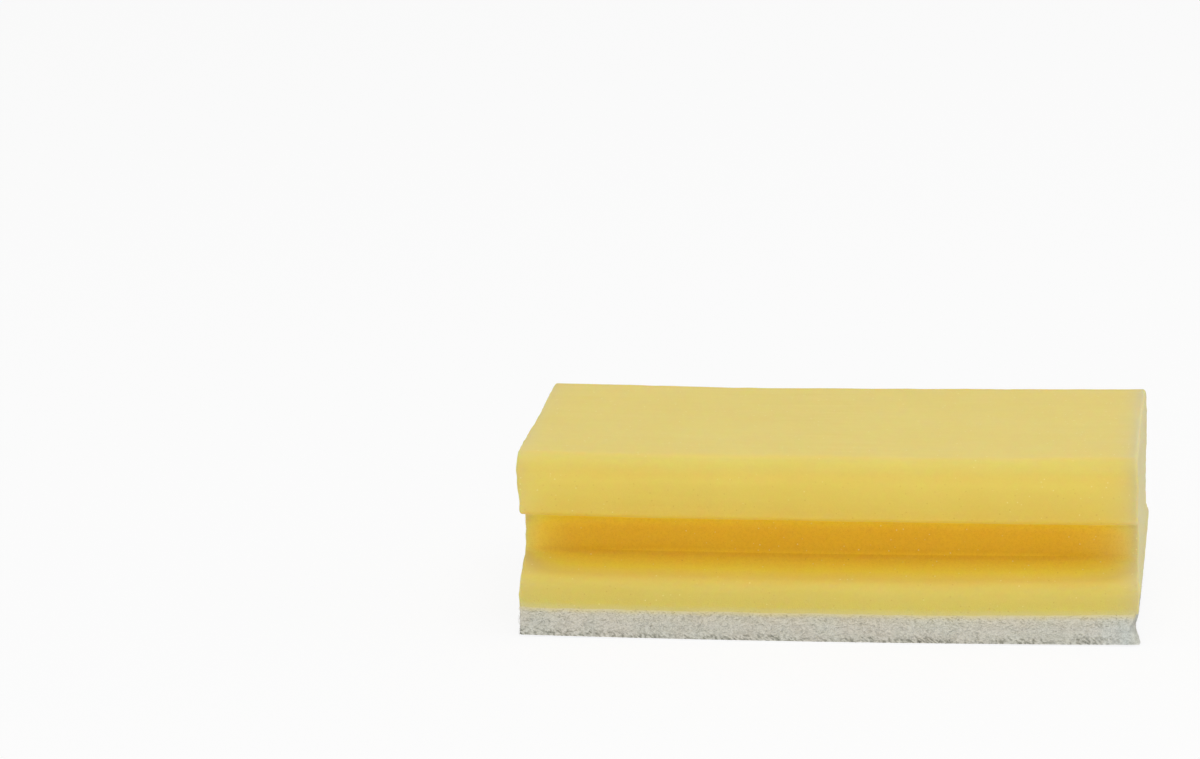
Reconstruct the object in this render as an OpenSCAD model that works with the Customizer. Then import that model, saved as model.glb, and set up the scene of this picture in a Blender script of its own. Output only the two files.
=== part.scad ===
// Cleaning sponge: a contour-cut foam block with a grip groove along both long sides,
// bonded over its whole underside to a flat scouring pad.
// Millimetres. X runs along the length, -Y is the front, +Z is up.
// The origin is the middle of the pad's underside, which the sponge rests on.

/* [Overall] */
// Length from end face to end face
sponge_l = 150; // [100:1:220]
// Width across the two long sides
sponge_w = 70; // [60:1:110]

/* [Scouring pad] */
// Thickness of the non-woven pad
pad_t = 7.2; // [3:0.2:12]

/* [Foam block, from the pad upwards] */
// Height of the foot, from the pad to the outer edge of the finger shelf
foot_h = 7.2; // [5:0.2:14]
// Climb of the finger shelf, from its outer edge in to the groove's back wall
shelf_rise = 4.2; // [2:0.2:8]
// Height of the groove's back wall, from the finger shelf to the roof under the lip
wall_h = 11.8; // [10:0.2:20]
// Height of the block above the lip
block_h = 15.6; // [12:0.2:30]

/* [Grip groove] */
// Depth of the groove, from the long side in to its back wall
groove_d = 10; // [8:0.5:16]
// Fillet where the shelf meets the back wall
root_r = 2.5; // [0.5:0.5:4]
// Fillet where the back wall meets the roof
roof_r = 4; // [0.5:0.5:5]

/* [Rounded edges] */
// Radius of the two long top edges
top_r = 4; // [0.5:0.5:8]
// Radius of the lip that overhangs the groove
lip_r = 0.8; // [0.2:0.2:2]
// Radius of the outer edge of the finger shelf
foot_r = 4; // [0.5:0.5:4]

/* [Hidden] */
$fn = 96;

// How far a cutting shape reaches past the face that it cuts
overcut = 1;

// Heights of the section's corners above the floor
foot_z = pad_t + foot_h;
shelf_z = foot_z + shelf_rise;
lip_z = shelf_z + wall_h;
top_z = lip_z + block_h;

// Places of the section's corners across the width, right-hand side
side_y = sponge_w / 2;
wall_y = side_y - groove_d;

// Directions along the section's edges
up = [0, 1];
down = [0, -1];
inward = [-1, 0];
outward = [1, 0];
up_shelf = [-groove_d, shelf_rise] / norm([groove_d, shelf_rise]);

// What a tangent arc of radius r leaves over at the corner p, whose two edges run along
// the unit vectors u and v. Cut away it rounds an edge, left standing it fillets one.
module corner_sliver(p, u, v, r) {
    half_angle = acos(u * v) / 2;
    bisector = (u + v) / norm(u + v);
    centre = p + bisector * r / sin(half_angle);
    tangent = r / tan(half_angle);
    difference() {
        polygon([centre, p + u * tangent, p - bisector * overcut, p + v * tangent]);
        translate(centre) circle(r);
    }
}

// The groove's outline: flat roof, upright back wall and a shelf that slopes down and out
module groove_outline() {
    difference() {
        polygon([
            [side_y + overcut, lip_z],
            [wall_y, lip_z],
            [wall_y, shelf_z],
            [side_y, foot_z],
            [side_y + overcut, foot_z]
        ]);
        corner_sliver([wall_y, lip_z], outward, down, roof_r);
        corner_sliver([wall_y, shelf_z], up, -up_shelf, root_r);
    }
}

// All that the contour cut takes off one long side
module side_cut() {
    groove_outline();
    corner_sliver([side_y, top_z], inward, down, top_r);
    corner_sliver([side_y, lip_z], inward, up, lip_r);
    corner_sliver([side_y, foot_z], up_shelf, down, foot_r);
}

// Cross-section of the foam, the same from end to end
module foam_section() {
    difference() {
        translate([-side_y, pad_t]) square([sponge_w, top_z - pad_t]);
        side_cut();
        mirror([1, 0]) side_cut();
    }
}

// Open-cell foam block, contour-cut along its length and sawn off square at both ends
module foam_body() {
    color([0.89, 0.79, 0.42])
        rotate([90, 0, 90])
            linear_extrude(sponge_l, center = true) foam_section();
}

// Non-woven fibre pad, cut flush with the foam all round
module scouring_pad() {
    color([0.77, 0.75, 0.69])
        translate([-sponge_l / 2, -side_y, 0]) cube([sponge_l, sponge_w, pad_t]);
}

foam_body();
scouring_pad();
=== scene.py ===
import itertools
import math

import bpy
import numpy as np
from mathutils import Matrix, Vector
from mathutils.geometry import delaunay_2d_cdt


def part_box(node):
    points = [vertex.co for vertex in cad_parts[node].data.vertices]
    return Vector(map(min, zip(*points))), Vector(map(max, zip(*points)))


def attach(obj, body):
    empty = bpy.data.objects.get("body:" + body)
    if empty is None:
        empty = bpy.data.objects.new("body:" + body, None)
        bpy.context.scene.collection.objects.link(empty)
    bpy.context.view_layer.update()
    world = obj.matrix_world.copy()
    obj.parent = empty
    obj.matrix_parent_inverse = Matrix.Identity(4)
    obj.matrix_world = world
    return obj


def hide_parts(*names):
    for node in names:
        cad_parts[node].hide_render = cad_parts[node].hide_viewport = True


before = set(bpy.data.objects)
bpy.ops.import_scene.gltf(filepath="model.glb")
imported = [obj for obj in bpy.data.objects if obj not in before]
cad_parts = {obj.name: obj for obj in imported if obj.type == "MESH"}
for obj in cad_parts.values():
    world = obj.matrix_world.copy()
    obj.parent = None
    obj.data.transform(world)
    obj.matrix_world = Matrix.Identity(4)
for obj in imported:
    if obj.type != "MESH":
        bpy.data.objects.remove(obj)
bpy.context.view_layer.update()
mm = 0.001
foamLow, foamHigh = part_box("foam_body")
padLow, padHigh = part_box("scouring_pad")
halfLength = foamHigh.x
halfWidth = foamHigh.y
sharpAngle = math.radians(60)    # bends steeper than this stay crisp


# noise and mesh helpers

def lumps(points, size, seed):
    # smooth random lumps from -1 to 1, each about size across (one number or one per axis)
    cells = points / size
    base = np.floor(cells).astype(np.int64)
    part = cells - base
    part = part * part * (3 - 2 * part)
    heights = np.random.default_rng(seed).uniform(-1, 1, 8192)
    total = np.zeros(len(points))
    for corner in itertools.product((0, 1), repeat=3):
        key = (base + corner) * (73856093, 19349663, 83492791)
        weight = np.prod(np.where(corner, part, 1 - part), axis=1)
        total += heights[(key[:, 0] ^ key[:, 1] ^ key[:, 2]) % len(heights)] * weight
    return total


def newPiece(name, points, faces, material):
    mesh = bpy.data.meshes.new(name)
    mesh.from_pydata(points, [], faces)
    if mesh.validate():
        print(name, "had faces that Blender mended")
    mesh.materials.append(material)
    mesh.shade_smooth()
    piece = bpy.data.objects.new(name, mesh)
    bpy.context.scene.collection.objects.link(piece)
    return piece


def getPoints(mesh):
    co = np.empty(len(mesh.vertices) * 3, np.float32)
    mesh.vertices.foreach_get("co", co)
    return co.reshape(-1, 3).astype(float)


def getNormals(mesh):
    no = np.empty(len(mesh.vertices) * 3, np.float32)
    mesh.vertex_normals.foreach_get("vector", no)
    return no.reshape(-1, 3).astype(float)


def setPoints(mesh, points):
    mesh.vertices.foreach_set("co", points.astype(np.float32).ravel())
    mesh.update()


def paint(mesh, name, values):
    layer = mesh.attributes.new(name, "FLOAT", "POINT")
    layer.data.foreach_set("value", values.astype(np.float32))


def smoothStep(x, low, high):
    t = np.clip((x - low) / (high - low), 0, 1)
    return t * t * (3 - 2 * t)


# outlines across the sponge, as (y, z) points

def roundedPath(corners, step, turn=math.radians(18)):
    # corners are (y, z, radius): flats take a point every step, bends one for every turn
    spots = [np.array(c[:2]) for c in corners]
    path = [spots[0]]
    for before, (y, z, radius), after in zip(spots, corners[1:], spots[2:] + [None]):
        here = np.array((y, z))
        if after is None:
            arc = [here]
        else:
            a = (before - here) / np.linalg.norm(before - here)
            b = (after - here) / np.linalg.norm(after - here)
            half = math.acos(np.clip(a @ b, -1, 1)) / 2
            centre = here + (a + b) / np.linalg.norm(a + b) * radius / math.sin(half)
            start = here + a * radius / math.tan(half) - centre
            end = here + b * radius / math.tan(half) - centre
            sweep = math.pi - 2 * half
            count = max(2, round(max(sweep / turn, sweep * radius / step)))
            arc = [
                centre + (start * math.sin(sweep * (1 - t)) + end * math.sin(sweep * t)) / math.sin(sweep)
                for t in np.linspace(0, 1, count + 1)
            ]
        flat = np.linalg.norm(arc[0] - path[-1])
        count = max(1, round(flat / step))
        path += [path[-1] + (arc[0] - path[-1]) * k / count for k in range(1, count)]
        path += arc
    return np.array(path)


def inwardFrom(loop):
    # unit steps into a counterclockwise loop
    tangent = np.roll(loop, -1, 0) - np.roll(loop, 1, 0)
    inward = np.c_[-tangent[:, 1], tangent[:, 0]]
    return inward / np.linalg.norm(inward, axis=1)[:, None]


def endFace(loop, step):
    # fills the loop with even triangles, for one sawn end: the new inner points, then the faces
    low, high = loop.min(0), loop.max(0)
    rows = np.arange(low[1] + step, high[1], step * math.sqrt(3) / 2)
    inner = np.array([
        (y, z)
        for i, z in enumerate(rows)
        for y in np.arange(low[0] + step * (1 + i % 2 / 2), high[0], step)
    ])
    nearest = np.array([np.min(np.sum((loop - p) ** 2, axis=1)) for p in inner])
    inner = inner[nearest > (0.6 * step) ** 2]
    points = [Vector(p) for p in np.r_[loop, inner]]
    _, _, faces, origins, _, _ = delaunay_2d_cdt(points, [], [list(range(len(loop)))], 1, 1e-9)
    index = [origin[0] if origin else len(loop) for origin in origins]
    used = sorted({i - len(loop) for i in index if i >= len(loop)})
    renumber = {len(loop) + old: len(loop) + new for new, old in enumerate(used)}
    return inner[used], [[renumber.get(index[i], index[i]) for i in face] for face in faces]


def loftedBar(loop, inward, stations, capStep):
    # a bar of one section: stations are (x, how far the section is drawn inward there)
    count = len(loop)
    rings = [np.c_[np.full(count, x), loop + inward * drawnIn] for x, drawnIn in stations]
    points = np.concatenate(rings)
    around = np.arange(count)
    after = (around + 1) % count
    first = count * np.arange(len(stations) - 1)[:, None]
    following = first + count
    faces = np.stack([first + around, first + after, following + after, following + around], axis=-1)
    faces = faces.reshape(-1, 4).tolist()
    for start, flip in ((0, True), (count * (len(stations) - 1), False)):
        inner, capFaces = endFace(points[start:start + count, 1:], capStep)
        extra = len(points) - count
        points = np.r_[points, np.c_[np.full(len(inner), points[start, 0]), inner]]
        for face in capFaces:
            face = [start + i if i < count else extra + i for i in face]
            faces.append(face[::-1] if flip else face)
    return points, faces


def stationsAlong(half, step, softness, turns=4):
    # even steps along X, then a small round-over at each end
    flat = half - softness
    middle = np.linspace(-flat, flat, round(2 * flat / step) + 1)
    over = [
        (flat + softness * math.sin(a), softness * (1 - math.cos(a)))
        for a in (math.pi / 2 * k / turns for k in range(1, turns + 1))
    ]
    return [(-x, d) for x, d in over[::-1]] + [(x, 0.0) for x in middle] + over


# node helpers for the materials

def newMaterial(name):
    material = bpy.data.materials.new(name)
    material.use_nodes = True
    tree = material.node_tree
    tree.nodes.clear()
    output = tree.nodes.new("ShaderNodeOutputMaterial")
    shader = tree.nodes.new("ShaderNodeBsdfPrincipled")
    tree.links.new(shader.outputs[0], output.inputs[0])
    return material, tree, shader


def add(tree, kind, inputs=None, **settings):
    node = tree.nodes.new(kind)
    for key, value in settings.items():
        setattr(node, key, value)
    for key, value in (inputs or {}).items():
        socket = node.inputs[key]
        if isinstance(value, bpy.types.NodeSocket):
            tree.links.new(value, socket)
        else:
            socket.default_value = value
    return node


def linear(red, green, blue):
    # a colour as read off a screen, 0 to 255, turned into the shader's own scale
    parts = [c / 255 for c in (red, green, blue)]
    return [c / 12.92 if c <= 0.04045 else ((c + 0.055) / 1.055) ** 2.4 for c in parts] + [1]


def mixed(tree, factor, a, b, blend="MIX"):
    node = add(tree, "ShaderNodeMix", data_type="RGBA", blend_type=blend)
    for key, value in ((0, factor), (6, a), (7, b)):
        if isinstance(value, bpy.types.NodeSocket):
            tree.links.new(value, node.inputs[key])
        else:
            node.inputs[key].default_value = value
    return node.outputs[2]


def sums(tree, operation, a, b=0.0, c=0.0):
    node = add(tree, "ShaderNodeMath", operation=operation)
    for key, value in enumerate((a, b, c)):
        if isinstance(value, bpy.types.NodeSocket):
            tree.links.new(value, node.inputs[key])
        else:
            node.inputs[key].default_value = value
    return node.outputs[0]


def noise(tree, place, scale, detail):
    return add(tree, "ShaderNodeTexNoise", {"Vector": place, "Scale": scale, "Detail": detail}).outputs["Fac"]


def painted(tree, name):
    # what paint() left on the mesh under this name
    return add(tree, "ShaderNodeAttribute", attribute_name=name).outputs["Fac"]


def ramped(tree, factor, *stops):
    node = add(tree, "ShaderNodeValToRGB", {"Fac": factor})
    ramp = node.color_ramp
    while len(ramp.elements) < len(stops):
        ramp.elements.new(0.5)
    for element, (place, colour) in zip(ramp.elements, stops):
        element.position = place
        element.color = colour if isinstance(colour, (list, tuple)) else [colour] * 3 + [1]
    return node.outputs[0]


# foam body

foam = {
    "footHeight": 7.2 * mm,
    "shelfRise": 4.2 * mm,
    "wallHeight": 11.8 * mm,
    "grooveDepth": 10 * mm,
    "topRadius": 4 * mm,
    "lipRadius": 1.4 * mm,
    "roofRadius": 4 * mm,
    "rootRadius": 2.5 * mm,
    "footRadius": 4 * mm,
    "ringStep": 0.75 * mm,         # spacing of points round the section and along the length
    "capStep": 0.9 * mm,           # and across the sawn ends
    "softEnds": 0.6 * mm,
    "lipSag": 0.06 * mm,           # how far the lip hangs at the middle
    "sagSlope": 0.0048,            # and how much more for each unit to the right
    "swells": [                    # height and size of the unevenness of its faces
        (0.18 * mm, 24 * mm),
        (0.07 * mm, 5 * mm),
        (0.03 * mm, 1.5 * mm),
        (0.03 * mm, np.array((30, 1.2, 1.2)) * mm),
    ],
    "top": (240, 214, 112),        # colours, with painted shade and painted light for each place
    "edge": (232, 215, 115),
    "side": (241, 220, 112),
    "lip": (233, 207, 98),
    "lipEdgeShade": (231, 196, 70),
    "shelf": (246, 222, 75),
    "inner": (252, 216, 64),
    "groove": (242, 198, 57),
    "lowWall": (236, 190, 45),
    "root": (254, 216, 58),
    "foot": (229, 212, 113),
    "sawn": (212, 204, 155),
    "bondAndSeamLight": (227, 212, 138),
    "endPaintedShading": 0.25,            # one even colour over each sawn end: how much shade is painted, and the share of the sawn colour with its painted light
    "endSawnAndLight": 0.72,
    "scatter": 2.5 * mm,           # how far light spreads inside the foam
    "cell": 0.36 * mm,
    "cellDepth": 0.08 * mm,
    "speckSpacing": 1.3 * mm,
}
lie = {
    "bow": 0.55 * mm,              # how far both ends of the sponge lift
    "thickerPad": 0.6 * mm,        # how much thicker the pad is towards its right end
    "seamWave": 0.15 * mm,         # how far the seam between foam and pad wavers
}


def foamMaterial():
    material, tree, shader = newMaterial("yellow_open_cell_foam")
    place = add(tree, "ShaderNodeTexCoord").outputs["Object"]
    alongLength = add(tree, "ShaderNodeMapping", {"Vector": place, "Scale": (40, 700, 700)}).outputs[0]
    cells = add(tree, "ShaderNodeTexVoronoi", {"Vector": place, "Scale": 1 / foam["cell"]})
    cells = cells.outputs["Distance"]
    streaks = noise(tree, alongLength, 1.0, 2.0)
    cloud = noise(tree, place, 60.0, 4.0)
    grain = noise(tree, place, 1500.0, 2.0)

    names = ("paintedShading", "foot", "sawn", "bondAndSeamLight", "edge", "lipEdgeShade")
    paintedShading, foot, sawn, bondAndSeamLight, edge, lipEdgeShade = (painted(tree, name) for name in names)
    # painted shading across the section: a paler top, darker sides and lip, the groove's deep yellow as in
    # shade, and a lighter root as painted light against the corner's occlusion
    places = {
        "top": 0.0, "side": 0.2, "lip": 0.4, "shelf": 0.55,
        "inner": 0.7, "groove": 0.85, "lowWall": 0.95, "root": 1.0,
    }
    base = ramped(tree, paintedShading, *((spot, linear(*foam[name])) for name, spot in places.items()))
    # painted shade on the rounded top edge and over the lip, painted light on the foot and along the seam,
    # and the sawn ends' colour with painted light near them
    base = mixed(tree, edge, base, linear(*foam["edge"]))
    base = mixed(tree, lipEdgeShade, base, linear(*foam["lipEdgeShade"]))
    base = mixed(tree, foot, base, linear(*foam["foot"]))
    base = mixed(tree, bondAndSeamLight, base, linear(*foam["bondAndSeamLight"]))
    base = mixed(tree, sawn, base, linear(*foam["sawn"]))
    patterns = mixed(tree, 1.0, *(
        ramped(tree, pattern, (low, dark), (high, 1.0)) for pattern, low, high, dark in (
            (grain, 0.35, 0.6, [0.95, 0.93, 0.90, 1]),
            (cells, 0.15, 0.4, [0.90, 0.85, 0.76, 1]),
        )
    ), "MULTIPLY")
    base = mixed(tree, ramped(tree, paintedShading, (0.3, 0.15), (0.8, 0.85)), base, patterns, "MULTIPLY")
    for pattern, low, high, dark in (
        (cloud, 0.35, 0.65, [0.99, 0.975, 0.95, 1]),
        (streaks, 0.3, 0.7, [0.99, 0.985, 0.97, 1]),
    ):
        base = mixed(tree, 1.0, base, ramped(tree, pattern, (low, dark), (high, 1.0)), "MULTIPLY")

    # painted highlights where a cell wall catches the light, and painted shade in an open cell, more of it
    # where more shade is painted
    spots = add(tree, "ShaderNodeTexVoronoi", {"Vector": place, "Scale": 1 / foam["speckSpacing"]})
    near = ramped(tree, spots.outputs["Distance"], (0.09, 1.0), (0.18, 0.0))
    bright = sums(tree, "MULTIPLY", near, ramped(tree, spots.outputs["Color"], (0.72, 0.0), (0.76, 1.0)))
    dark = sums(tree, "MULTIPLY", near, ramped(tree, spots.outputs["Color"], (0.22, 1.0), (0.26, 0.0)))
    dark = sums(tree, "MULTIPLY", dark, paintedShading)
    base = mixed(tree, sums(tree, "MULTIPLY", bright, 0.5), base, linear(255, 244, 180))
    base = mixed(tree, sums(tree, "MULTIPLY", dark, 0.7), base, linear(190, 140, 40))
    specks = sums(tree, "MULTIPLY", sums(tree, "MAXIMUM", bright, dark), 0.8)
    onSurface = sums(tree, "MAXIMUM", bondAndSeamLight, specks)

    tree.links.new(base, shader.inputs["Base Color"])
    shader.inputs["Roughness"].default_value = 0.9
    shader.inputs["Specular IOR Level"].default_value = 0.25
    shader.inputs["Sheen Weight"].default_value = 0.1
    shader.inputs["Sheen Roughness"].default_value = 0.5
    tree.links.new(sums(tree, "SUBTRACT", 1.0, onSurface), shader.inputs["Subsurface Weight"])
    shader.inputs["Subsurface Radius"].default_value = (1.0, 0.6, 0.15)
    shader.inputs["Subsurface Scale"].default_value = foam["scatter"]
    height = sums(tree, "MULTIPLY_ADD", streaks, 0.3, sums(tree, "MULTIPLY_ADD", grain, 0.5, cells))
    rough = sums(tree, "MULTIPLY_ADD", sawn, 0.5, sums(tree, "MULTIPLY_ADD", paintedShading, 0.55, 0.12))
    bump = add(tree, "ShaderNodeBump", {"Height": height, "Strength": rough, "Distance": foam["cellDepth"]})
    tree.links.new(bump.outputs[0], shader.inputs["Normal"])
    return material


def foamOutline(step):
    # counterclockwise from the right-hand bottom corner
    foot = foamLow.z + foam["footHeight"]
    shelf = foot + foam["shelfRise"]
    lip = shelf + foam["wallHeight"]
    wall = halfWidth - foam["grooveDepth"]
    right = [
        (halfWidth, foamLow.z, 0),
        (halfWidth, foot, foam["footRadius"]),
        (wall, shelf, foam["rootRadius"]),
        (wall, lip, foam["roofRadius"]),
        (halfWidth, lip, foam["lipRadius"]),
        (halfWidth, foamHigh.z, foam["topRadius"]),
    ]
    left = [(-y, z, radius) for y, z, radius in right[::-1]]
    upper = roundedPath(right + left, step)
    under = np.linspace(upper[-1], upper[0], 24)[1:-1]
    return np.r_[upper, under], lip


def makeFoam(material):
    loop, lipZ = foamOutline(foam["ringStep"])
    inward = inwardFrom(loop)
    # the glued underside is drawn in sideways only, so that it stays on the pad
    glued = loop[:, 1] < foamLow.z + 0.01 * mm
    inward[glued] = np.c_[-loop[glued, 0] / halfWidth, np.zeros(glued.sum())]
    stations = stationsAlong(halfLength, foam["ringStep"], foam["softEnds"])
    points, faces = loftedBar(loop, inward, stations, foam["capStep"])
    piece = newPiece("foam_block", points, faces, material)
    mesh = piece.data
    mesh.set_sharp_from_angle(angle=sharpAngle)
    points, normals = getPoints(mesh), getNormals(mesh)

    fromEnd = halfLength - np.abs(points[:, 0])
    onEnd = np.abs(normals[:, 0]) > 0.7
    # painted shading, eased near the ends where more light comes in; one even amount over the sawn ends
    paintedShading = paintedShadingAt(points, lipZ) * (1 - 0.5 * np.exp(-fromEnd / (5 * mm)))
    paint(mesh, "paintedShading", np.where(onEnd, foam["endPaintedShading"], paintedShading))
    paint(mesh, "foot", np.where(onEnd, 0, footAt(points)))
    under = foamHigh.z - points[:, 2]
    # painted shade on the rounded top edge
    edge = smoothStep(under, 0, 0.6 * mm) * (1 - smoothStep(under, 1.8 * mm, 4.8 * mm))
    paint(mesh, "edge", np.where(onEnd, 0, edge))
    # painted shade just over the lip's edge
    overLip = points[:, 2] - lipZ
    lipEdgeShade = (overLip > -0.01 * mm) * (1 - smoothStep(overLip, 0.2 * mm, 1.3 * mm))
    paint(mesh, "lipEdgeShade", np.where(onEnd, 0, lipEdgeShade))
    # the sawn ends' paler colour, with painted light that comes in from the ends, stronger at the right end
    sawn = 0.95 * np.exp(-np.clip(fromEnd - 0.2 * mm, 0, None) / (2 * mm + 1.8 * mm * paintedShading))
    sawn = np.where(onEnd, foam["endSawnAndLight"], sawn)
    paint(mesh, "sawn", sawn * np.where(points[:, 0] > 0, 1.0, 0.4))
    # paler along the glued seam: partly the bond, partly painted light against the dark line there
    wave = 0.2 * mm * lumps(points, 3 * mm, 7)
    paint(mesh, "bondAndSeamLight", 1 - smoothStep(points[:, 2] + wave, foamLow.z + 0.1 * mm, foamLow.z + 1.5 * mm))

    free = smoothStep(points[:, 2], foamLow.z, foamLow.z + 1.5 * mm)
    swell = sum(rise * lumps(points, size, 3 + k) for k, (rise, size) in enumerate(foam["swells"]))
    points += normals * (swell * free)[:, None]
    setPoints(mesh, settled(sagged(sawnEnds(points), lipZ)))
    return piece


def paintedShadingAt(points, lipZ):
    # how much shade is painted: 0 on top, up to 0.4 down the sides, 0.34 to 0.8 up the shelf, 1 where the
    # shelf meets the groove's wall, and back to 0.72 up that wall
    depth = halfWidth - np.abs(points[:, 1])
    height = points[:, 2]
    under = foamHigh.z - height
    outside = 0.25 * smoothStep(under, 0.5 * mm, 8 * mm)
    outside += 0.15 * smoothStep(under, 6 * mm, foamHigh.z - lipZ)
    shelfTop = foamLow.z + foam["footHeight"] + foam["shelfRise"]
    wall = 1 - 0.05 * smoothStep(height, shelfTop - 0.5 * mm, shelfTop + 2.5 * mm)
    upWall = 0.1 * smoothStep(height, shelfTop, lipZ)
    wall -= upWall + 0.13 * smoothStep(height, lipZ - 5.8 * mm, lipZ - 2.6 * mm)
    inShelf = np.clip(depth / (9.5 * mm), 0, 1)
    shelf = 0.34 + 0.46 * inShelf ** 1.3 + 0.2 * smoothStep(depth, 9.2 * mm, 10 * mm)
    return np.where(height > lipZ - 0.01 * mm, outside, np.minimum(wall, shelf))


def footAt(points):
    # 1 on the foot's outer face, where the white pad and the table light it
    depth = halfWidth - np.abs(points[:, 1])
    footTop = foamLow.z + foam["footHeight"]
    outer = 1 - smoothStep(depth, 0, 3.4 * mm)
    return outer * (1 - smoothStep(points[:, 2], footTop - 1 * mm, footTop + 2 * mm))


def sawnEnds(points):
    # the saw left both ends a little out of true: heights over the pad, and how far out
    heights = np.array((0, 3, 6, 8, 15, 23.5, 28, 33, 38.8)) * mm
    left = np.array((0.6, 0.75, 0.5, 0.35, 0.0, -0.15, -0.1, 0.2, 0.2)) * mm
    right = np.array((0.5, 0.8, 1.0, 0.5, 0.35, 0.35, 0.4, 0.4, 0.1)) * mm
    over = points[:, 2] - foamLow.z
    fromMiddle = np.abs(points[:, 0])
    nearEnd = smoothStep(fromMiddle, halfLength - 12 * mm, halfLength)
    out = np.where(points[:, 0] > 0, np.interp(over, heights, right), -np.interp(over, heights, left))
    ragged = 0.12 * mm * lumps(points, 1.6 * mm, 8)
    ragged *= smoothStep(fromMiddle, halfLength - 1 * mm, halfLength)
    points[:, 0] += out * nearEnd + ragged
    return points


def sagged(points, lipZ):
    # the overhanging lip sags towards the right end
    x, z = points[:, 0], points[:, 2]
    sag = (foam["lipSag"] + foam["sagSlope"] * x) * smoothStep(z, lipZ - 6 * mm, lipZ)
    sag *= 1 - smoothStep(z, lipZ, foamHigh.z)
    points[:, 2] -= sag
    return points


def settled(points):
    # as the sponge lies: both ends lift, the pad thickens to the right, and the seam wavers
    x, z = points[:, 0], points[:, 2]
    thicker = lie["thickerPad"] * smoothStep(x, 35 * mm, halfLength + 10 * mm)
    thicker *= np.interp(z, (padLow.z, padHigh.z, padHigh.z + 8 * mm), (0, 1, 0))
    wavy = lie["seamWave"] * lumps(points * (1, 1, 0), 3 * mm, 9)
    wavy *= np.interp(z, (padHigh.z - 2 * mm, padHigh.z, padHigh.z + 2 * mm), (0, 1, 0))
    points[:, 2] += lie["bow"] * (x / halfLength) ** 2 + thicker + wavy
    return points


# scouring pad

pad = {
    "step": 0.5 * mm,           # spacing of points along the length
    "edgeStep": 0.4 * mm,       # up the long sides
    "topStep": 3 * mm,          # across the hidden top
    "underStep": 0.8 * mm,      # and across the underside
    "capStep": 0.6 * mm,        # and over the ends
    "softEnds": 0.3 * mm,
    "fibre": (230, 227, 218),   # colours: the fibre, its shade, painted shadow in the hollows, and at the seam the foam's yellow, partly painted light off the foam
    "shade": (166, 164, 152),
    "pitShadow": (126, 127, 118),
    "seam": (232, 216, 146),
    "recess": 0.1 * mm,         # how far the matted body lies behind the outermost fibres
    "strandRadius": 0.026 * mm,
    "strandLength": 0.75 * mm,
    "strandsPerSide": 6000,
    "strandsPerEnd": 2800,
    "strandsUnder": 11000,
    "looseShare": 0.03,         # share of the strands that stand away from the face
    "darkShare": 0.04,          # and of those that are darker than the rest
}


def padColour(tree, place, fleck):
    # the fibre's colour: fine tone from the mesh with painted shadow in the hollows, faint warm and cool
    # clouds, painted cool light at the right end, and at the seam the foam's yellow, partly painted light
    # bounced off the foam
    tone, seam = painted(tree, "tone"), painted(tree, "seam")
    cloud = noise(tree, place, 160.0, 1.0)
    fleck = ramped(tree, fleck, (0.35, 0.0), (0.6, 1.0))
    level = sums(tree, "MULTIPLY_ADD", fleck, 0.3, sums(tree, "MULTIPLY", tone, 0.7))
    stops = (0.0, "pitShadow"), (0.25, "shade"), (1.0, "fibre")
    base = ramped(tree, level, *((spot, linear(*pad[name])) for spot, name in stops))
    tint = ramped(tree, cloud, (0.35, [0.98, 1.0, 0.985, 1]), (0.65, [1.0, 0.99, 0.97, 1]))
    base = mixed(tree, 1.0, base, tint, "MULTIPLY")
    # painted cool light towards the right end: 0 at 60 mm from the middle, 1 at 75 mm
    along = add(tree, "ShaderNodeSeparateXYZ", {"Vector": place}).outputs["X"]
    along = sums(tree, "MULTIPLY_ADD", along, 1 / (15 * mm), -4.0)
    coolRightLight = ramped(tree, along, (0.0, 1.0), (0.85, [0.98, 1.03, 1.09, 1]), (1.0, [1.02, 1.04, 1.05, 1]))
    base = mixed(tree, 1.0, base, coolRightLight, "MULTIPLY")
    return mixed(tree, seam, base, linear(*pad["seam"]))


def padMaterial():
    material, tree, shader = newMaterial("white_nonwoven_pad")
    place = add(tree, "ShaderNodeTexCoord").outputs["Object"]
    inLayers = add(tree, "ShaderNodeMapping", {"Vector": place, "Scale": (3400, 3400, 4600)}).outputs[0]
    matted = noise(tree, inLayers, 1.0, 2.0)
    tree.links.new(padColour(tree, place, matted), shader.inputs["Base Color"])
    shader.inputs["Roughness"].default_value = 0.85
    shader.inputs["Specular IOR Level"].default_value = 0.3
    bump = add(tree, "ShaderNodeBump", {"Height": matted, "Strength": 0.4, "Distance": 0.12 * mm})
    tree.links.new(bump.outputs[0], shader.inputs["Normal"])
    return material


def strandMaterial():
    material, tree, shader = newMaterial("crimped_polyester_strands")
    place = add(tree, "ShaderNodeTexCoord").outputs["Object"]
    fleck = noise(tree, place, 4000.0, 1.0)
    tree.links.new(padColour(tree, place, fleck), shader.inputs["Base Color"])
    shader.inputs["Roughness"].default_value = 0.6
    shader.inputs["Specular IOR Level"].default_value = 0.4
    return material


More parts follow.
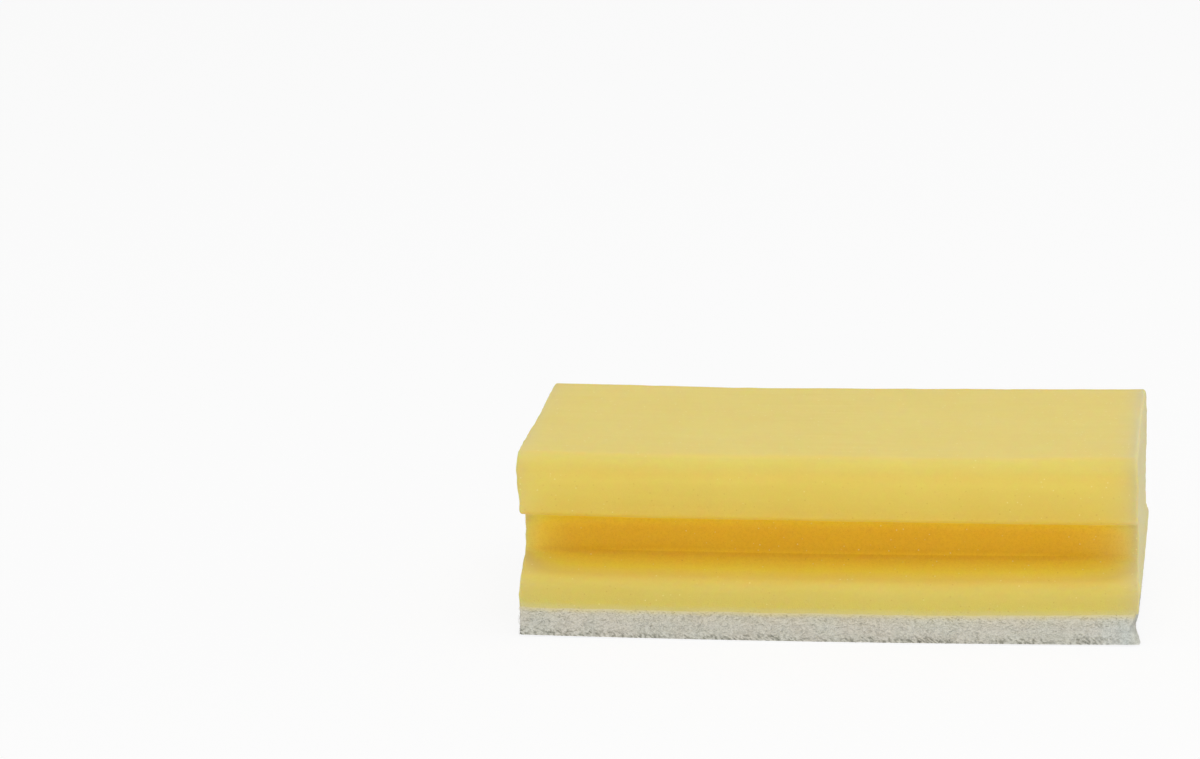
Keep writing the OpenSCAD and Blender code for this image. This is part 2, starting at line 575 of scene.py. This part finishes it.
def paintPad(mesh, points, ownTone=0.0):
    # tone: 0 in the painted shadow of the hollows between fibres, 1 on the brightest fibre. seam: 1 where
    # foam and pad run together, where the foam's yellow is partly painted light bounced off it
    nearRim = np.maximum(np.abs(points[:, 0]) - halfLength, np.abs(points[:, 1]) - halfWidth) > -1.2 * mm
    height = points[:, 2] - padLow.z
    calm = 1 - 0.6 * np.exp(-np.clip(halfLength - points[:, 0], 0, None) / (4 * mm))
    vary = ownTone + 0.02 * lumps(points, 6 * mm, 31) + 0.1 * lumps(points, 0.25 * mm, 32)
    vary += 0.02 * lumps(points, np.array((1.6, 1.6, 0.4)) * mm, 33)
    tone = 0.88 + vary * calm
    grit = lumps(points, np.array((0.22, 0.22, 0.18)) * mm, 34)
    patch = smoothStep(lumps(points, 8 * mm, 35), -0.5, 0.4)
    lowest = nearRim * (1 - smoothStep(height, 0.5 * mm, (1.4 + 0.8 * patch) * mm))
    topmost = nearRim * np.exp(-((height - 6.2 * mm) / (0.6 * mm)) ** 2)
    # painted shadow in the hollows along the bottom rim and in patches just under the seam
    pitShadows = lowest * (0.7 + 1.1 * patch) + topmost * 0.4 * (1 - patch)
    tone -= calm * pitShadows * smoothStep(grit, 0.1, 0.35)
    # bright fibre specks along the bottom rim, and painted light in the band under the seam
    tone += calm * lowest * smoothStep(-grit, 0.0, 0.4) * 0.5 + 0.08 * topmost
    paint(mesh, "tone", np.clip(tone, 0, 1))
    # the seam's foam yellow: partly where the two run together, partly painted light bounced off the foam
    below = padHigh.z - points[:, 2] + 0.25 * mm * lumps(points, np.array((2.5, 2.5, 9)) * mm, 36)
    paint(mesh, "seam", np.interp(below, np.array((-0.1, 0.5, 1.3, 3.5)) * mm, (0.8, 0.5, 0.12, 0.0)))


def padShape(points):
    # the right end leans in behind its front corner, which flares at the bottom under a small nick
    x, y, z = points.T
    low = 1 - smoothStep(z, padLow.z, padHigh.z)
    front = 1 - smoothStep(y, -halfWidth, -halfWidth + 12 * mm)
    nick = np.exp(-((z - 3.7 * mm) / (2.0 * mm)) ** 2)
    # a shallow dent in the end's lower half
    dent = np.exp(-((y + 21.5 * mm) / (6.5 * mm)) ** 2) * (1 - smoothStep(z, 4 * mm, padHigh.z))
    right = (1.1 * front * low - 1.9 * front * nick - 0.05 * (1 - front) - 0.6 * dent) * mm
    left = (-0.65 - 0.1 * low) * mm
    nearEnd = smoothStep(np.abs(x), halfLength - 5 * mm, halfLength)
    points[:, 0] += np.where(x > 0, right, left) * nearEnd
    return settled(points)


def makePad(material):
    low, high = padLow, padHigh
    rim = [(high.y, low.z), (high.y, high.z), (low.y, high.z), (low.y, low.z)]
    steps = (pad["edgeStep"], pad["topStep"], pad["edgeStep"], pad["underStep"])
    loop = np.concatenate([
        roundedPath([(*rim[i], 0), (*rim[(i + 1) % 4], 0)], steps[i])[:-1] for i in range(4)
    ])
    stations = stationsAlong(halfLength, pad["step"], pad["softEnds"], 2)
    points, faces = loftedBar(loop, inwardFrom(loop), stations, pad["capStep"])
    piece = newPiece("fibre_pad", points, faces, material)
    mesh = piece.data
    mesh.set_sharp_from_angle(angle=sharpAngle)
    points, normals = getPoints(mesh), getNormals(mesh)
    paintPad(mesh, points)
    belowSeam = 1 - smoothStep(points[:, 2], high.z - 1.0 * mm, high.z)
    rough = 0.03 * mm * lumps(points, 3 * mm, 11) + 0.02 * mm * lumps(points, 0.7 * mm, 12) - pad["recess"]
    points += normals * (rough * belowSeam)[:, None] * (1, 1, 0.4)
    setPoints(mesh, padShape(points))
    return piece


def foldedIn(values, low, high):
    # mirrors back what would stand out past either limit
    return high - np.abs(high - low - np.abs(values - low))


def makeStrands(name, face, material, seed):
    # crimped fibres matted on one face of the pad
    dice = np.random.default_rng(seed)
    count, bends = face["count"], face["bends"]
    keys = ("corner", "across", "upward", "outward")
    corner, across, upward, outward = (np.array(face[key], float) for key in keys)
    width, height = np.linalg.norm(across), np.linalg.norm(upward)
    u, v = across / width, upward / height
    t = np.linspace(0, 1, bends + 1)

    lie = dice.normal(0, face["scatter"], count) + math.pi * dice.integers(0, 2, count)
    curl = dice.normal(0, 1.6, count)[:, None] * (t - 0.5)
    crimp = 0.5 * np.sin(9 * t + dice.uniform(0, 6, (count, 1)))
    heading = lie[:, None] + curl + crimp
    step = face["length"] * dice.uniform(0.5, 1.3, (count, 1)) / bends
    alongU = dice.uniform(0, width, (count, 1)) + np.cumsum(np.cos(heading) * step, axis=1)
    alongV = dice.uniform(0, height, (count, 1)) + np.cumsum(np.sin(heading) * step, axis=1)
    arch = dice.uniform(0.05, 0.4, (count, 1)) ** 1.5 * mm
    lift = 0.35 * arch * np.sin(math.pi * t) - pad["recess"] + dice.uniform(0, 0.09, (count, 1)) * mm
    loose = dice.random(count) < pad["looseShare"]
    lift[loose] += np.outer(dice.uniform(0.1, 0.6, loose.sum()) * mm, t ** 2)
    spine = corner + alongU[..., None] * u + alongV[..., None] * v + lift[..., None] * outward

    tangent = np.gradient(spine, axis=1)
    side = np.cross(tangent, outward)
    side /= np.linalg.norm(side, axis=2)[..., None]
    top = np.cross(side, tangent)
    top /= np.linalg.norm(top, axis=2)[..., None]
    thick = pad["strandRadius"] * dice.uniform(0.7, 1.25, (count, 1, 1))
    corners = [math.pi * (1 / 2 + 2 / 3 * k) for k in range(3)]
    points = np.stack([spine + thick * (side * math.cos(a) + top * math.sin(a)) for a in corners], axis=2)
    points = points.reshape(-1, 3)
    for axis, (low, high) in enumerate(zip(face["low"], face["high"])):
        points[:, axis] = foldedIn(points[:, axis], low, high)

    first = (np.arange(count) * (bends + 1) * 3)[:, None, None]
    ring = 3 * np.arange(bends)[:, None]
    here = np.arange(3)
    after = (here + 1) % 3
    corners = [ring + here, ring + after, ring + 3 + after, ring + 3 + here]
    faces = (first[..., None] + np.stack(corners, axis=-1)).reshape(-1, 4)
    piece = newPiece(name, points, faces.tolist(), material)
    ownTone = dice.normal(0, 0.04, count) - 0.2 * (dice.random(count) < pad["darkShare"])
    paintPad(piece.data, points, np.repeat(ownTone, 3 * (bends + 1)))
    setPoints(piece.data, padShape(points))
    return piece


def makePadStrands(material):
    (x0, y0, z0), (x1, y1, z1) = padLow, padHigh
    length, width, thick = x1 - x0, y1 - y0, z1 - z0
    low = (x0 - 0.3 * mm, y0 - 0.8 * mm, z0)
    high = (x1 + 0.3 * mm, y1 + 0.8 * mm, z1 + 0.3 * mm)
    side = {"count": pad["strandsPerSide"], "bends": 3, "scatter": 0.45, "length": pad["strandLength"]}
    side.update(low=low, high=high)
    end = dict(side, count=pad["strandsPerEnd"])
    under = dict(side, count=pad["strandsUnder"] // 2, scatter=3.0, length=3 * pad["strandLength"])
    under.update(low=(x0, y0, z0), high=(x1, y1, z1))
    alongX, alongY, upward = (length, 0, 0), (0, width, 0), (0, 0, thick + 0.25 * mm)
    faces = {
        "front_fibres": dict(side, corner=(x0, y0, z0), across=alongX, upward=upward, outward=(0, -1, 0)),
        "back_fibres": dict(side, corner=(x0, y1, z0), across=alongX, upward=upward, outward=(0, 1, 0)),
        "left_fibres": dict(end, corner=(x0, y0, z0), across=alongY, upward=upward, outward=(-1, 0, 0)),
        "right_fibres": dict(end, corner=(x1, y0, z0), across=alongY, upward=upward, outward=(1, 0, 0)),
    }
    for name, start in (("under_fibres_left", x0), ("under_fibres_right", 0)):
        corner, across = (start, y0, z0 + 0.1 * mm), (length / 2, 0, 0)
        faces[name] = dict(under, corner=corner, across=across, upward=alongY, outward=(0, 0, -1))
    return [makeStrands(name, face, material, 20 + k) for k, (name, face) in enumerate(faces.items())]


# stage: floor, lamps and camera

stage = {
    "floorReach": 4.0,       # from the sponge to each edge of the floor
    "floorGrey": 0.93,
    "floorGlow": 0.88,       # how much of plain white the camera sees in the floor
    "sky": 0.45,             # the sky's light on the sponge, against the white that is seen
    "aim": (0, 0, 0.02),     # where the lamps point
}
lamps = {
    # place, size and power
    "overhead_softbox": ((0.15, -0.4, 1.6), (1.6, 1.2), 9.8),
    "front_softbox": ((0.25, -1.3, 0.35), (1.2, 0.7), 4.2),
    "right_softbox": ((1.3, 0.2, 0.5), (1.0, 0.8), 2.35),
}


def seenWhite(tree):
    # 1 for what the camera, a gloss or a clear piece sees, 0 for the light on the sponge
    rays = add(tree, "ShaderNodeLightPath").outputs
    seen = sums(tree, "MAXIMUM", rays["Is Glossy Ray"], rays["Is Transmission Ray"])
    return sums(tree, "MAXIMUM", seen, rays["Is Camera Ray"])


def makeFloor():
    material, tree, shader = newMaterial("pale_floor")
    shader.inputs["Base Color"].default_value = [stage["floorGrey"]] * 3 + [1]
    shader.inputs["Roughness"].default_value = 1.0
    shader.inputs["Specular IOR Level"].default_value = 0.0
    output = next(n for n in tree.nodes if n.type == "OUTPUT_MATERIAL")
    white = add(tree, "ShaderNodeEmission", {"Color": (1, 1, 1, 1), "Strength": 1.0})
    seen = sums(tree, "MULTIPLY", seenWhite(tree), stage["floorGlow"])
    blend = add(tree, "ShaderNodeMixShader", {0: seen, 1: shader.outputs[0], 2: white.outputs[0]})
    tree.links.new(blend.outputs[0], output.inputs[0])
    mesh = bpy.data.meshes.new("floor")
    reach = stage["floorReach"]
    corners = [(-reach, -reach, 0), (reach, -reach, 0), (reach, reach, 0), (-reach, reach, 0)]
    mesh.from_pydata(corners, [], [(0, 1, 2, 3)])
    mesh.materials.append(material)
    floor = bpy.data.objects.new("floor", mesh)
    bpy.context.scene.collection.objects.link(floor)


def addLamp(name, place, target, size, power):
    light = bpy.data.lights.new(name, "AREA")
    light.shape = "RECTANGLE"
    light.size, light.size_y = size
    light.energy = power
    lamp = bpy.data.objects.new(name, light)
    bpy.context.scene.collection.objects.link(lamp)
    lamp.location = place
    lamp.rotation_euler = (Vector(target) - Vector(place)).to_track_quat("-Z", "Y").to_euler()


def setLights():
    world = bpy.data.worlds.new("studio")
    bpy.context.scene.world = world
    world.use_nodes = True
    tree = world.node_tree
    background = tree.nodes["Background"]
    background.inputs["Color"].default_value = (1, 1, 1, 1)
    strength = sums(tree, "MULTIPLY_ADD", seenWhite(tree), 1 - stage["sky"], stage["sky"])
    tree.links.new(strength, background.inputs["Strength"])
    for name, (place, size, power) in lamps.items():
        addLamp(name, place, stage["aim"], size, power)


view = {
    "lookAt": (-54.1 * mm, -35 * mm, 65.75 * mm),
    "distance": 1.2,
    "azimuth": 8.09,
    "elevation": 15.0,
    "roll": -1.55,
    "lens": 148.84,
}


def setCamera():
    azimuth, elevation, roll = (math.radians(view[k]) for k in ("azimuth", "elevation", "roll"))
    away = math.cos(elevation)
    back = Vector((math.sin(azimuth) * away, -math.cos(azimuth) * away, math.sin(elevation)))
    level = Vector((0, 0, 1)).cross(back).normalized()
    upright = back.cross(level)
    right = math.cos(roll) * level + math.sin(roll) * upright
    up = -math.sin(roll) * level + math.cos(roll) * upright
    camera = bpy.data.cameras.new("camera")
    camera.lens = view["lens"]
    eye = bpy.data.objects.new("camera", camera)
    bpy.context.scene.collection.objects.link(eye)
    place = Vector(view["lookAt"]) + back * view["distance"]
    eye.matrix_world = Matrix.Translation(place) @ Matrix((right, up, back)).transposed().to_4x4()
    bpy.context.scene.camera = eye


setCamera()
setLights()
makeFloor()
print("camera, lamps and floor set")

foamPiece = makeFoam(foamMaterial())
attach(foamPiece, "root")
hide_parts("foam_body")
print("foam block:", sum(len(f.vertices) - 2 for f in foamPiece.data.polygons), "triangles")

padPiece = makePad(padMaterial())
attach(padPiece, "root")
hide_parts("scouring_pad")
for strands in makePadStrands(strandMaterial()):
    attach(strands, "root")
    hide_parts("scouring_pad")
    print(strands.name, 2 * len(strands.data.polygons), "triangles")
print("fibre pad:", sum(len(f.vertices) - 2 for f in padPiece.data.polygons), "triangles")

bpy.context.scene.view_settings.view_transform = "Standard"
